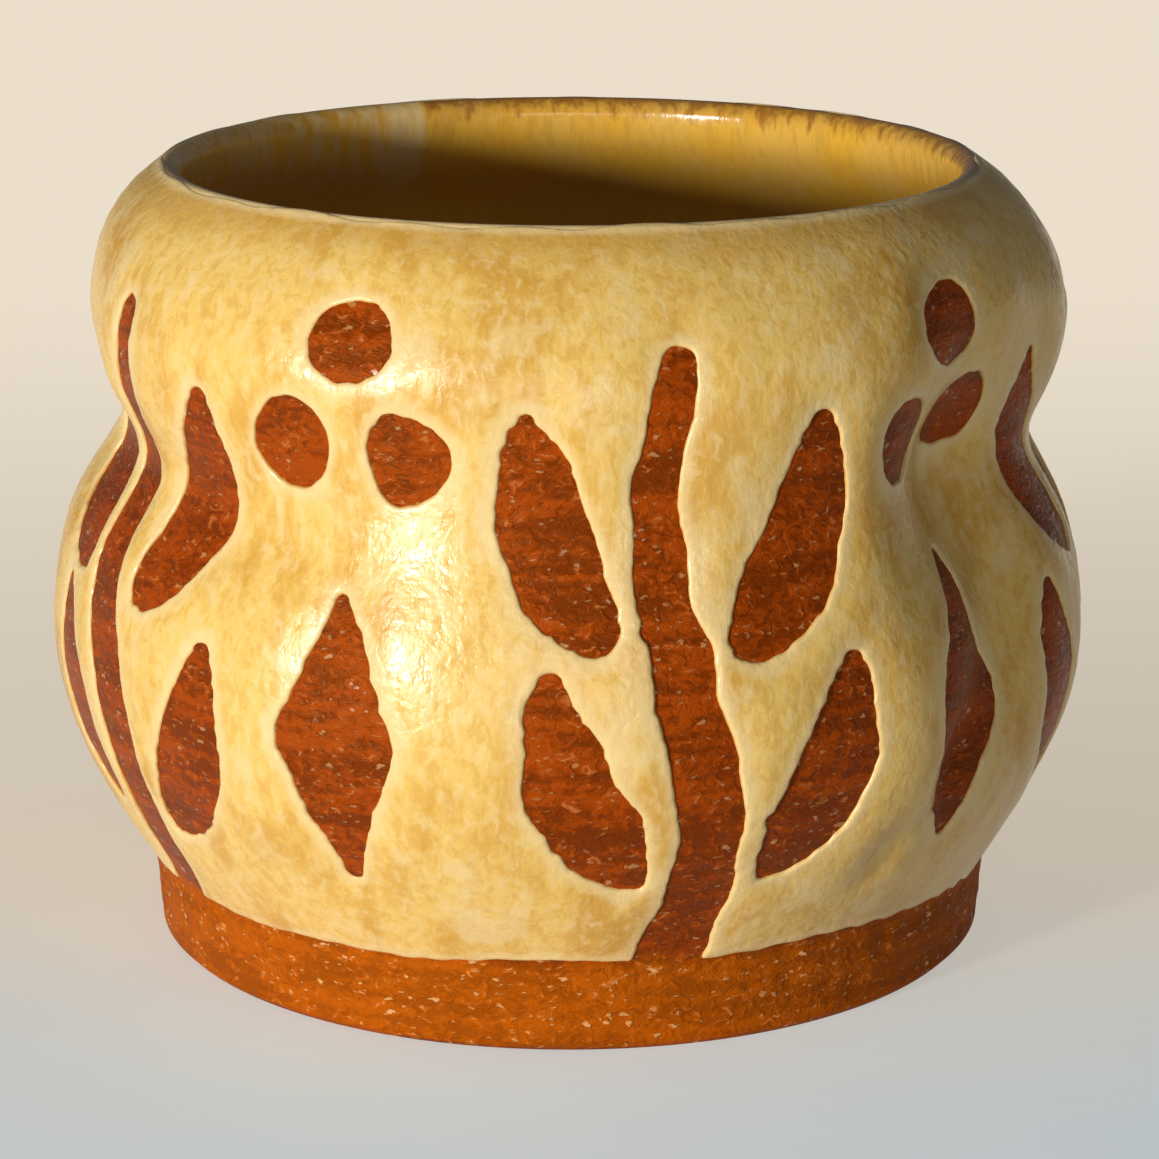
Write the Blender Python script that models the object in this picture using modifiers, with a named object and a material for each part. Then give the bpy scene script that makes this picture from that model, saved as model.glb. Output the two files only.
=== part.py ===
"""Espresso cup without a handle: a thrown red clay body, pressed in at the waist, under two coats of glaze.

Metres, +Z up. The origin is on the table under the middle of the cup, and the front faces -Y.
Angles round the cup are in degrees from the front, positive towards +X.
"""

import math
import random
from collections import namedtuple

import bmesh
import bpy
import numpy as np
from mathutils import Vector
from mathutils.geometry import interpolate_bezier

# Heights of the clay wall, each measured from the one before it
FOOT_HEIGHT = 0.0060
FOOT_TO_GIRTH = 0.0160
GIRTH_TO_SHOULDER = 0.0220
SHOULDER_TO_LIP = 0.0095

# Outer radii of the clay
FOOT_RADIUS = 0.0290
FOOT_TOP_RADIUS = 0.0295
GIRTH_RADIUS = 0.0356
SHOULDER_RADIUS = 0.0335
LIP_RADIUS = 0.0276

# Thicknesses of the clay
GIRTH_WALL = 0.0037
SHOULDER_WALL = 0.0033
LIP_ROUNDING = 0.0008
FLOOR_THICKNESS = 0.0050
FLOOR_CORNER = 0.0120

# How far each curve of the wall keeps its direction past its end, as a share of its rise or reach
CREST_HOLD = 0.05
SHOULDER_HOLD_UP = 0.48
SHOULDER_HOLD_DOWN = 0.55
GIRTH_HOLD_UP = 0.20
GIRTH_HOLD_DOWN = 0.50
FOOT_HOLD = 0.15

# The turned foot ring and the hollow inside it
FOOT_RING_WIDTH = 0.0050
FOOT_HOLLOW = 0.0018
FOOT_BEVEL = 0.0005

# The coats of glaze, which start this far off the clay. The outer one ends in waves above the foot.
CLEARANCE = 0.0003
OUTER_COAT = 0.0005
INNER_COAT = 0.0005
GLAZE_EDGE_WAVE = 0.0008

# The groove that runs all the way round the waist
WAIST_ABOVE_GIRTH = 0.0140
WAIST_GROOVE_DEPTH = 0.0005
WAIST_GROOVE_HALF_HEIGHT = 0.0050

# Dents pressed by fingers into the soft wall. Heights count from the waist, lean is in degrees.
Press = namedtuple("Press", "angle above_waist half_width half_height depth lean")
PRESSES = (
    Press(angle=53, above_waist=0.0000, half_width=0.0068, half_height=0.0076, depth=0.0048, lean=8),
    Press(angle=57, above_waist=-0.0110, half_width=0.0040, half_height=0.0075, depth=0.0021, lean=12),
    Press(angle=48, above_waist=-0.0172, half_width=0.0023, half_height=0.0048, depth=0.0016, lean=24),
    Press(angle=86, above_waist=-0.0004, half_width=0.0130, half_height=0.0043, depth=0.0022, lean=0),
    Press(angle=68, above_waist=0.0085, half_width=0.0035, half_height=0.0060, depth=0.0006, lean=0),
    Press(angle=-72, above_waist=-0.0001, half_width=0.0240, half_height=0.0044, depth=0.0029, lean=3),
    Press(angle=-92, above_waist=0.0080, half_width=0.0200, half_height=0.0055, depth=0.0013, lean=0),
    Press(angle=-118, above_waist=0.0000, half_width=0.0110, half_height=0.0050, depth=0.0020, lean=0),
    Press(angle=-160, above_waist=0.0006, half_width=0.0095, half_height=0.0056, depth=0.0024, lean=-6),
    Press(angle=158, above_waist=-0.0006, half_width=0.0100, half_height=0.0054, depth=0.0025, lean=6),
    Press(angle=120, above_waist=0.0004, half_width=0.0090, half_height=0.0050, depth=0.0022, lean=0),
)
PRESS_FADE = 0.0060
EDGE_WAVE_FADE = 0.0060

# Bare marks left in the outer coat: sprigs growing from the foot, with three dots and a lozenge between them
SPRIGS = 5
FIRST_SPRIG_ANGLE = 12
STEM_TIP_BELOW_LIP = 0.0072
STEM_ROOT = 0.0020
STEM_WIDTH = 0.0042
STEM_SWAY = 0.0016
LEAF_PAIRS = 2
LEAF_LENGTH = 0.0145
LEAF_WIDTH = 0.0060
LEAF_GAP = 0.0022
LEAF_LEAN = 32
LEAF_ABOVE_FOOT = 0.0070
LEAF_SPACING = 0.0155
LOZENGE_LENGTH = 0.0180
LOZENGE_WIDTH = 0.0084
DOTS_BELOW_SHOULDER = 0.0040
DOT_WIDTH = 0.0056
DOT_GAP = 0.0024

# How far the hand strays from the regular: places in metres, leans and angles round the cup in degrees
HEIGHT_WOBBLE = 0.0006
LEAN_WOBBLE = 4
ANGLE_WOBBLE = 1.5

# Facets
TURN_STEPS = 48
CUTTER_SIDES = 8

GIRTH_HEIGHT = FOOT_HEIGHT + FOOT_TO_GIRTH
WAIST_HEIGHT = GIRTH_HEIGHT + WAIST_ABOVE_GIRTH
SHOULDER_HEIGHT = GIRTH_HEIGHT + GIRTH_TO_SHOULDER
LIP_HEIGHT = SHOULDER_HEIGHT + SHOULDER_TO_LIP
STEM_TOP = LIP_HEIGHT - STEM_TIP_BELOW_LIP
FLOOR_HEIGHT = FOOT_HOLLOW + FLOOR_THICKNESS


def bend(start, start_handle, end_handle, end, steps):
    """Points (radius, height) along a Bezier curve, without its last point."""
    corners = [Vector((x, 0, z)) for x, z in (start, start_handle, end_handle, end)]
    return [(p.x, p.z) for p in interpolate_bezier(*corners, steps + 1)[:-1]]


def outer_line():
    """The outside of the clay from the lip's crest down to the foot."""
    crest = (LIP_RADIUS, LIP_HEIGHT)
    shoulder = (SHOULDER_RADIUS, SHOULDER_HEIGHT)
    girth = (GIRTH_RADIUS, GIRTH_HEIGHT)
    foot_top = (FOOT_TOP_RADIUS, FOOT_HEIGHT)
    overhang = SHOULDER_RADIUS - LIP_RADIUS
    line = bend(
        crest,
        (LIP_RADIUS + CREST_HOLD * overhang, LIP_HEIGHT),
        (SHOULDER_RADIUS, SHOULDER_HEIGHT + SHOULDER_HOLD_UP * SHOULDER_TO_LIP),
        shoulder,
        5,
    )
    line += bend(
        shoulder,
        (SHOULDER_RADIUS, SHOULDER_HEIGHT - SHOULDER_HOLD_DOWN * GIRTH_TO_SHOULDER),
        (GIRTH_RADIUS, GIRTH_HEIGHT + GIRTH_HOLD_UP * GIRTH_TO_SHOULDER),
        girth,
        7,
    )
    line += bend(
        girth,
        (GIRTH_RADIUS, GIRTH_HEIGHT - GIRTH_HOLD_DOWN * FOOT_TO_GIRTH),
        (FOOT_TOP_RADIUS, FOOT_HEIGHT + FOOT_HOLD * FOOT_TO_GIRTH),
        foot_top,
        5,
    )
    return line + [foot_top]


def inner_line():
    """The inside of the clay from the middle of the floor up to the lip's crest, without the crest."""
    shoulder = (SHOULDER_RADIUS - SHOULDER_WALL, SHOULDER_HEIGHT)
    girth = (GIRTH_RADIUS - GIRTH_WALL, GIRTH_HEIGHT)
    lip_side = (LIP_RADIUS - LIP_ROUNDING, LIP_HEIGHT - LIP_ROUNDING)
    corner = girth[0] - FLOOR_CORNER
    line = [(0, FLOOR_HEIGHT), (0.5 * corner, FLOOR_HEIGHT)]
    line += bend(
        (corner, FLOOR_HEIGHT),
        (corner + 0.60 * FLOOR_CORNER, FLOOR_HEIGHT),
        (girth[0], FLOOR_HEIGHT + 0.35 * (GIRTH_HEIGHT - FLOOR_HEIGHT)),
        girth,
        5,
    )
    line += bend(
        girth,
        (girth[0], GIRTH_HEIGHT + GIRTH_HOLD_UP * GIRTH_TO_SHOULDER),
        (shoulder[0], SHOULDER_HEIGHT - SHOULDER_HOLD_DOWN * GIRTH_TO_SHOULDER),
        shoulder,
        6,
    )
    line += bend(
        shoulder,
        (shoulder[0], SHOULDER_HEIGHT + 0.40 * SHOULDER_TO_LIP),
        (lip_side[0], lip_side[1] - 0.35 * SHOULDER_TO_LIP),
        lip_side,
        4,
    )
    line += bend(
        lip_side,
        (lip_side[0], lip_side[1] + 0.55 * LIP_ROUNDING),
        (LIP_RADIUS - 0.45 * LIP_ROUNDING, LIP_HEIGHT),
        (LIP_RADIUS, LIP_HEIGHT),
        2,
    )
    return line


def foot_line():
    """The bare foot below its top, across the ring that stands on the table and into the hollow."""
    ring_inside = FOOT_RADIUS - FOOT_RING_WIDTH
    return [
        (FOOT_RADIUS, FOOT_BEVEL),
        (FOOT_RADIUS - FOOT_BEVEL, 0),
        (ring_inside, 0),
        (ring_inside - FOOT_BEVEL, FOOT_BEVEL),
        (ring_inside - 0.5 * FOOT_HOLLOW, FOOT_HOLLOW),
        (0.5 * ring_inside, FOOT_HOLLOW),
        (0, FOOT_HOLLOW),
    ]


OUTER_LINE = outer_line()


def radius_at(height):
    """The clay's outer radius before the presses."""
    radii, heights = np.array(OUTER_LINE[::-1]).T
    return float(np.interp(height, heights, radii))


WAIST_RADIUS = radius_at(WAIST_HEIGHT)


def pressed_in(angle, height):
    """How far the fingers moved the wall towards the axis at this place."""
    depth = WAIST_GROOVE_DEPTH * math.exp(-(((height - WAIST_HEIGHT) / WAIST_GROOVE_HALF_HEIGHT) ** 2))
    for press in PRESSES:
        turned = (angle - press.angle + 180) % 360 - 180
        across = math.radians(turned) * WAIST_RADIUS
        up = height - WAIST_HEIGHT - press.above_waist
        lean = math.radians(press.lean)
        u = (across * math.cos(lean) - up * math.sin(lean)) / press.half_width
        v = (across * math.sin(lean) + up * math.cos(lean)) / press.half_height
        depth += press.depth * math.exp(-(u * u + v * v))
    above_foot = (height - FOOT_HEIGHT) / PRESS_FADE
    below_lip = (LIP_HEIGHT - height) / PRESS_FADE
    return depth * max(0.0, min(1.0, above_foot, below_lip))


def angle_of(point):
    return math.degrees(math.atan2(point.x, -point.y))


def place(angle, height, off_clay=0.0):
    """The point at this angle and height, off_clay outside the clay."""
    turn = math.radians(angle)
    radius = radius_at(height) - pressed_in(angle, height) + off_clay
    return Vector((radius * math.sin(turn), -radius * math.cos(turn), height))


def press(mesh):
    """Moves each vertex of a turned shape towards the axis, as the fingers did.

    Its faces are then split along their shorter diagonals, so that the coats bend where the clay bends.
    """
    for vertex in mesh.vertices:
        radius = math.hypot(vertex.co.x, vertex.co.y)
        if radius > 0:
            shrink = 1 - pressed_in(angle_of(vertex.co), vertex.co.z) / radius
            vertex.co.x *= shrink
            vertex.co.y *= shrink
    splitter = bmesh.new()
    splitter.from_mesh(mesh)
    bmesh.ops.triangulate(splitter, faces=splitter.faces, quad_method="SHORT_EDGE")
    splitter.to_mesh(mesh)
    splitter.free()


def wave_lower_edge(mesh):
    """Lifts the coat's lower edge off the foot in soft waves that follow the wall."""
    for vertex in mesh.vertices:
        share = (FOOT_HEIGHT + EDGE_WAVE_FADE - vertex.co.z) / EDGE_WAVE_FADE
        turn = math.radians(angle_of(vertex.co))
        wave = 0.5 + 0.3 * math.sin(3 * turn + 0.8) + 0.2 * math.sin(7 * turn + 2.1)
        height = vertex.co.z + GLAZE_EDGE_WAVE * wave * max(0.0, share)
        radius = math.hypot(vertex.co.x, vertex.co.y)
        grow = 1 + (radius_at(height) - radius_at(vertex.co.z)) / radius
        vertex.co = Vector((vertex.co.x * grow, vertex.co.y * grow, height))


def material(name, colour, roughness):
    made = bpy.data.materials.new(name)
    made.use_nodes = True
    shader = made.node_tree.nodes["Principled BSDF"]
    shader.inputs["Base Color"].default_value = (*colour, 1)
    shader.inputs["Roughness"].default_value = roughness
    shader.inputs["Metallic"].default_value = 0
    return made


def add_object(name, mesh, collection):
    made = bpy.data.objects.new(name, mesh)
    collection.objects.link(made)
    return made


def as_mesh(source, name, collection):
    """A new mesh object with the source's evaluated shape, in the source's place. The source is removed."""
    graph = bpy.context.evaluated_depsgraph_get()
    mesh = bpy.data.meshes.new_from_object(source.evaluated_get(graph))
    mesh.name = name
    welder = bmesh.new()
    welder.from_mesh(mesh)
    bmesh.ops.remove_doubles(welder, verts=welder.verts, dist=1e-6)
    welder.to_mesh(mesh)
    welder.free()
    made = add_object(name, mesh, collection)
    made.matrix_world = source.matrix_world
    bpy.data.objects.remove(source)
    return made


def turned(name, line, collection):
    """A profile of (radius, height) points turned about Z with a Screw modifier, as a mesh."""
    profile = bpy.data.meshes.new(name + "_profile")
    edges = [(i, i + 1) for i in range(len(line) - 1)]
    profile.from_pydata([(radius, 0, height) for radius, height in line], edges, [])
    source = add_object(name + "_profile", profile, collection)
    screw = source.modifiers.new("Turn", "SCREW")
    screw.steps = TURN_STEPS
    screw.render_steps = TURN_STEPS
    screw.use_merge_vertices = True
    screw.merge_threshold = 1e-6
    bpy.context.view_layer.update()
    return as_mesh(source, name, collection)


def finish(piece, surface):
    piece.data.materials.clear()
    piece.data.materials.append(surface)
    piece.data.shade_smooth()


def coat(name, line, thickness, collection):
    """A layer over the clay's own surface, from CLEARANCE to CLEARANCE + thickness off it."""
    piece = turned(name, line, collection)
    press(piece.data)
    solidify = piece.modifiers.new("Thickness", "SOLIDIFY")
    solidify.thickness = thickness
    solidify.offset = 1 + 2 * CLEARANCE / thickness
    return piece


def stroke(name, points, collection):
    """A cutter along one brush stroke, from points of (angle, height, half width)."""
    curve = bpy.data.curves.new(name, "CURVE")
    curve.dimensions = "3D"
    curve.bevel_depth = 1
    curve.bevel_resolution = (CUTTER_SIDES - 4) // 2
    curve.use_fill_caps = True
    spline = curve.splines.new("POLY")
    spline.points.add(len(points) - 1)
    for point, (angle, height, half_width) in zip(spline.points, points, strict=True):
        point.co = (*place(angle, height, CLEARANCE + 0.5 * OUTER_COAT), 1)
        point.radius = half_width
    source = add_object(name + "_guide", curve, collection)
    bpy.context.view_layer.update()
    return as_mesh(source, name, collection)


def dot(name, angle, height, collection):
    """A cutter for one round mark."""
    ball = bmesh.new()
    bmesh.ops.create_uvsphere(
        ball, u_segments=CUTTER_SIDES, v_segments=CUTTER_SIDES // 2 + 1, radius=0.5 * DOT_WIDTH
    )
    mesh = bpy.data.meshes.new(name)
    ball.to_mesh(mesh)
    ball.free()
    made = add_object(name, mesh, collection)
    made.location = place(angle, height, CLEARANCE + 0.5 * OUTER_COAT)


def degrees_round(distance, height):
    """The angle that this distance round the cup takes at this height."""
    return math.degrees(distance / radius_at(height))


def stem_across(sway, height):
    """How far the stem sways sideways at this height, once to each side on its way up."""
    share = (height - FOOT_HEIGHT) / (STEM_TOP - FOOT_HEIGHT)
    return STEM_SWAY * sway * math.sin(2 * math.pi * share)


def stem_points(middle, sway):
    """The stem rises out of the foot and thins towards its tip."""
    points = []
    for i in range(13):
        share = i / 12
        height = FOOT_HEIGHT - STEM_ROOT + share * (STEM_TOP - FOOT_HEIGHT + STEM_ROOT)
        across = stem_across(sway, height)
        half_width = 0.5 * STEM_WIDTH * (1.08 - 0.55 * share**2)
        points.append((middle + degrees_round(across, height), height, half_width))
    return points


def leaf_points(middle, side, sway, height, lean):
    """A leaf starts a gap away from the stem and curves up as it runs outwards."""
    points = []
    start = side * (0.5 * STEM_WIDTH + LEAF_GAP) + stem_across(sway, height)
    for i in range(5):
        share = i / 4
        turn = math.radians(lean) * (1.35 - 0.7 * share)
        across = start + side * LEAF_LENGTH * share * math.sin(turn)
        up = height + LEAF_LENGTH * share * math.cos(turn)
        half_width = 0.5 * LEAF_WIDTH * (0.22 + 0.78 * math.sin(math.pi * share**0.85) ** 0.8)
        points.append((middle + degrees_round(across, up), up, half_width))
    return points


def lozenge_points(middle, lean):
    """The lozenge leans about its own middle, which lies on the girth."""
    points = []
    for share in (-0.5, 0, 0.5):
        up = GIRTH_HEIGHT + share * LOZENGE_LENGTH
        across = share * LOZENGE_LENGTH * math.tan(math.radians(lean))
        half_width = 0.5 * LOZENGE_WIDTH * (1 - 1.64 * abs(share))
        points.append((middle + degrees_round(across, up), up, half_width))
    return points


def cut_sprig(number, middle, hand, cutters):
    sway = hand.choice((-1, 1))
    stroke(f"stem_{number}", stem_points(middle, sway), cutters)
    for pair in range(LEAF_PAIRS):
        pair_height = FOOT_HEIGHT + LEAF_ABOVE_FOOT + pair * LEAF_SPACING
        for side, word in ((-1, "left"), (1, "right")):
            height = pair_height + hand.uniform(-1, 1) * HEIGHT_WOBBLE
            lean = LEAF_LEAN + hand.uniform(-1, 1) * LEAN_WOBBLE
            points = leaf_points(middle, side, sway, height, lean)
            stroke(f"leaf_{number}_{pair}_{word}", points, cutters)


def cut_dots(number, middle, hand, cutters):
    """Two dots side by side and one above them."""
    pitch = DOT_WIDTH + DOT_GAP
    for across, up in ((-0.5 * pitch, 0), (0.5 * pitch, 0), (0, 0.87 * pitch)):
        height = SHOULDER_HEIGHT - DOTS_BELOW_SHOULDER + up + hand.uniform(-1, 1) * HEIGHT_WOBBLE
        dot(f"dot_{number}", middle + degrees_round(across, height), height, cutters)


def cut_marks(piece, cutters):
    """Cuts the bare marks out of the outer coat, each a little off the regular, as by hand."""
    hand = random.Random(5)
    pitch = 360 / SPRIGS
    for number in range(SPRIGS):
        middle = FIRST_SPRIG_ANGLE + number * pitch
        cut_sprig(number, middle, hand, cutters)
        between = middle + 0.5 * pitch + hand.uniform(-1, 1) * ANGLE_WOBBLE
        lean = hand.uniform(-1, 1) * LEAN_WOBBLE
        stroke(f"lozenge_{number}", lozenge_points(between, lean), cutters)
        cut_dots(number, between, hand, cutters)
    for cutter in cutters.objects:
        cutter.hide_render = True
        cutter.display_type = "WIRE"
    marks = piece.modifiers.new("Bare marks", "BOOLEAN")
    marks.operand_type = "COLLECTION"
    marks.collection = cutters
    marks.solver = "EXACT"


def make_clay_body(parts):
    piece = turned("clay_body", inner_line() + OUTER_LINE + foot_line(), parts)
    press(piece.data)
    finish(piece, material("red_clay", (0.30, 0.085, 0.020), 0.85))


def make_outer_glaze(parts, cutters):
    """From beside the lip's crest down to the foot."""
    beside_crest = (LIP_RADIUS + 0.5 * CLEARANCE, LIP_HEIGHT)
    piece = coat("outer_glaze", [beside_crest] + OUTER_LINE[1:], OUTER_COAT, parts)
    wave_lower_edge(piece.data)
    cut_marks(piece, cutters)
    finish(piece, material("cream_glaze", (0.80, 0.55, 0.22), 0.30))


def make_inner_glaze(parts):
    """From the middle of the floor up to beside the lip's crest."""
    beside_crest = (LIP_RADIUS - 0.5 * CLEARANCE, LIP_HEIGHT)
    piece = coat("inner_glaze", inner_line() + [beside_crest], INNER_COAT, parts)
    finish(piece, material("amber_glaze", (0.62, 0.32, 0.06), 0.22))


def main():
    for old in list(bpy.data.objects):
        bpy.data.objects.remove(old)
    parts = bpy.data.collections.new("espresso_cup")
    cutters = bpy.data.collections.new("cutters")
    for collection in (parts, cutters):
        bpy.context.scene.collection.children.link(collection)
    make_clay_body(parts)
    make_outer_glaze(parts, cutters)
    make_inner_glaze(parts)


main()
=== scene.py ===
"""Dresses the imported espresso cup: a pressed clay body under a thick cream coat, with an amber liner.

Metres, in the frame's own axes. Angles round the cup are counted from the front, -Y, towards +X.
A place on the wall is a turn, in radians, and a distance along the clay's outline from the lip's
crest: positive down the outside, negative down the inside.
"""

import math
import random
from collections import namedtuple

import bmesh
import bpy
import numpy as np
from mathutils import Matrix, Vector


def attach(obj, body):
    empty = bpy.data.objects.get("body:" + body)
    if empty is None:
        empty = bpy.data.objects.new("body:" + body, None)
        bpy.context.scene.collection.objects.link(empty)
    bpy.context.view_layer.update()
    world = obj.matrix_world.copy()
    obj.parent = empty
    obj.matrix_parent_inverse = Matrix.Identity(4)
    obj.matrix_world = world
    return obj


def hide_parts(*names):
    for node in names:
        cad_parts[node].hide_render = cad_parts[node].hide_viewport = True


bl_info = {
    "name": "Espresso Cup Dresser",
    "version": (1, 0, 0),
    "blender": (4, 5, 0),
    "location": "View3D > Sidebar > Cup",
    "description": "Clay, glazes, floor, lamps and camera for a pressed espresso cup",
    "category": "Object",
}

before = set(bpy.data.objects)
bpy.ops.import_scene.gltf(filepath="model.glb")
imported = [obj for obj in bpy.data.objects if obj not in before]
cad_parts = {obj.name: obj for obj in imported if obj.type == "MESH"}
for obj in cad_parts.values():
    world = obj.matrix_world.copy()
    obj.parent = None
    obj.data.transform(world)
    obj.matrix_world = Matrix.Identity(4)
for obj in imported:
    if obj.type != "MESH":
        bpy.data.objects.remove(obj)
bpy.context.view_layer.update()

# The clay's outline, as in the CAD source
FOOT_HEIGHT = 0.0060
FOOT_TO_GIRTH = 0.0160
GIRTH_TO_SHOULDER = 0.0220
SHOULDER_TO_LIP = 0.0095
FOOT_RADIUS = 0.0290
FOOT_TOP_RADIUS = 0.0295
GIRTH_RADIUS = 0.0356
SHOULDER_RADIUS = 0.0335
LIP_RADIUS = 0.0276
GIRTH_WALL = 0.0037
SHOULDER_WALL = 0.0033
LIP_ROUNDING = 0.0008
FLOOR_THICKNESS = 0.0050
FLOOR_CORNER = 0.0120
CREST_HOLD = 0.05
SHOULDER_HOLD_UP = 0.48
SHOULDER_HOLD_DOWN = 0.55
GIRTH_HOLD_UP = 0.20
GIRTH_HOLD_DOWN = 0.50
FOOT_HOLD = 0.15
FOOT_RING_WIDTH = 0.0050
FOOT_HOLLOW = 0.0018
FOOT_BEVEL = 0.0005
FLOOR_HOLD_OUT = 0.60
FLOOR_HOLD_UP = 0.35
NECK_HOLD_UP = 0.40
NECK_HOLD_DOWN = 0.35
LIP_HOLD_UP = 0.55
LIP_HOLD_IN = 0.45

# The dents, as in the CAD source, with two too small for it at the end
WAIST_ABOVE_GIRTH = 0.0140
WAIST_GROOVE_DEPTH = 0.0005
WAIST_GROOVE_HALF_HEIGHT = 0.0050
PRESS_FADE = 0.0060
Press = namedtuple("Press", "angle above_waist half_width half_height depth lean")
PRESSES = (
    Press(angle=53, above_waist=0.0000, half_width=0.0068, half_height=0.0076, depth=0.0048, lean=8),
    Press(angle=57, above_waist=-0.0110, half_width=0.0040, half_height=0.0075, depth=0.0021, lean=12),
    Press(angle=48, above_waist=-0.0172, half_width=0.0023, half_height=0.0048, depth=0.0016, lean=24),
    Press(angle=86, above_waist=-0.0004, half_width=0.0130, half_height=0.0043, depth=0.0022, lean=0),
    Press(angle=68, above_waist=0.0085, half_width=0.0035, half_height=0.0060, depth=0.0006, lean=0),
    Press(angle=-72, above_waist=-0.0001, half_width=0.0240, half_height=0.0044, depth=0.0029, lean=3),
    Press(angle=-92, above_waist=0.0080, half_width=0.0200, half_height=0.0055, depth=0.0013, lean=0),
    Press(angle=-118, above_waist=0.0000, half_width=0.0110, half_height=0.0050, depth=0.0020, lean=0),
    Press(angle=-160, above_waist=0.0006, half_width=0.0095, half_height=0.0056, depth=0.0024, lean=-6),
    Press(angle=158, above_waist=-0.0006, half_width=0.0100, half_height=0.0054, depth=0.0025, lean=6),
    Press(angle=120, above_waist=0.0004, half_width=0.0090, half_height=0.0050, depth=0.0022, lean=0),
    Press(angle=37.5, above_waist=-0.0232, half_width=0.0013, half_height=0.0019, depth=0.0009, lean=24),
    Press(angle=-34, above_waist=-0.0030, half_width=0.0060, half_height=0.0022, depth=0.0004, lean=-12),
)

# The bare marks, as in the CAD source
MARK_SEED = 5
SPRIGS = 5
FIRST_SPRIG_ANGLE = 12
STEM_TIP_BELOW_LIP = 0.0072
STEM_ROOT = 0.0020
STEM_WIDTH = 0.0042
STEM_SWAY = 0.0016
LEAF_PAIRS = 2
LEAF_LENGTH = 0.0145
LEAF_WIDTH = 0.0060
LEAF_GAP = 0.0022
LEAF_LEAN = 32
LEAF_ABOVE_FOOT = 0.0070
LEAF_SPACING = 0.0155
LOZENGE_LENGTH = 0.0180
LOZENGE_WIDTH = 0.0084
DOTS_BELOW_SHOULDER = 0.0040
DOT_WIDTH = 0.0056
DOT_GAP = 0.0024
HEIGHT_WOBBLE = 0.0006
LEAN_WOBBLE = 4
ANGLE_WOBBLE = 1.5
MARK_ABOVE_CLAY = 0.00055
GLAZE_EDGE_WAVE = 0.0008
STEM_POINTS = 25
LEAF_POINTS = 13
LOZENGE_POINTS = 9

GIRTH_HEIGHT = FOOT_HEIGHT + FOOT_TO_GIRTH
WAIST_HEIGHT = GIRTH_HEIGHT + WAIST_ABOVE_GIRTH
SHOULDER_HEIGHT = GIRTH_HEIGHT + GIRTH_TO_SHOULDER
LIP_HEIGHT = SHOULDER_HEIGHT + SHOULDER_TO_LIP
STEM_TOP = LIP_HEIGHT - STEM_TIP_BELOW_LIP
FLOOR_HEIGHT = FOOT_HOLLOW + FLOOR_THICKNESS

# Steps along each curve, and along the three curves of the outside above the foot
CURVE_STEPS = 40
STEPS_TO_FOOT = 3 * CURVE_STEPS


def bend(start, start_handle, end_handle, end):
    """Points (radius, height) along a Bezier curve, without its last point."""
    share = np.arange(CURVE_STEPS)[:, None] / CURVE_STEPS
    rest = 1 - share
    corners = np.array([start, start_handle, end_handle, end])
    return (
        rest**3 * corners[0]
        + 3 * rest**2 * share * corners[1]
        + 3 * rest * share**2 * corners[2]
        + share**3 * corners[3]
    )


def outside_line():
    """The clay's outside from the lip's crest to the foot's top, over the foot and into its hollow."""
    shoulder = (SHOULDER_RADIUS, SHOULDER_HEIGHT)
    girth = (GIRTH_RADIUS, GIRTH_HEIGHT)
    foot_top = (FOOT_TOP_RADIUS, FOOT_HEIGHT)
    overhang = SHOULDER_RADIUS - LIP_RADIUS
    ring_inside = FOOT_RADIUS - FOOT_RING_WIDTH
    foot = [
        foot_top,
        (FOOT_RADIUS, FOOT_BEVEL),
        (FOOT_RADIUS - FOOT_BEVEL, 0),
        (ring_inside, 0),
        (ring_inside - FOOT_BEVEL, FOOT_BEVEL),
        (ring_inside - 0.5 * FOOT_HOLLOW, FOOT_HOLLOW),
        (0, FOOT_HOLLOW),
    ]
    return np.vstack([
        bend(
            (LIP_RADIUS, LIP_HEIGHT),
            (LIP_RADIUS + CREST_HOLD * overhang, LIP_HEIGHT),
            (SHOULDER_RADIUS, SHOULDER_HEIGHT + SHOULDER_HOLD_UP * SHOULDER_TO_LIP),
            shoulder,
        ),
        bend(
            shoulder,
            (SHOULDER_RADIUS, SHOULDER_HEIGHT - SHOULDER_HOLD_DOWN * GIRTH_TO_SHOULDER),
            (GIRTH_RADIUS, GIRTH_HEIGHT + GIRTH_HOLD_UP * GIRTH_TO_SHOULDER),
            girth,
        ),
        bend(
            girth,
            (GIRTH_RADIUS, GIRTH_HEIGHT - GIRTH_HOLD_DOWN * FOOT_TO_GIRTH),
            (FOOT_TOP_RADIUS, FOOT_HEIGHT + FOOT_HOLD * FOOT_TO_GIRTH),
            foot_top,
        ),
        foot,
    ])


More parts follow.
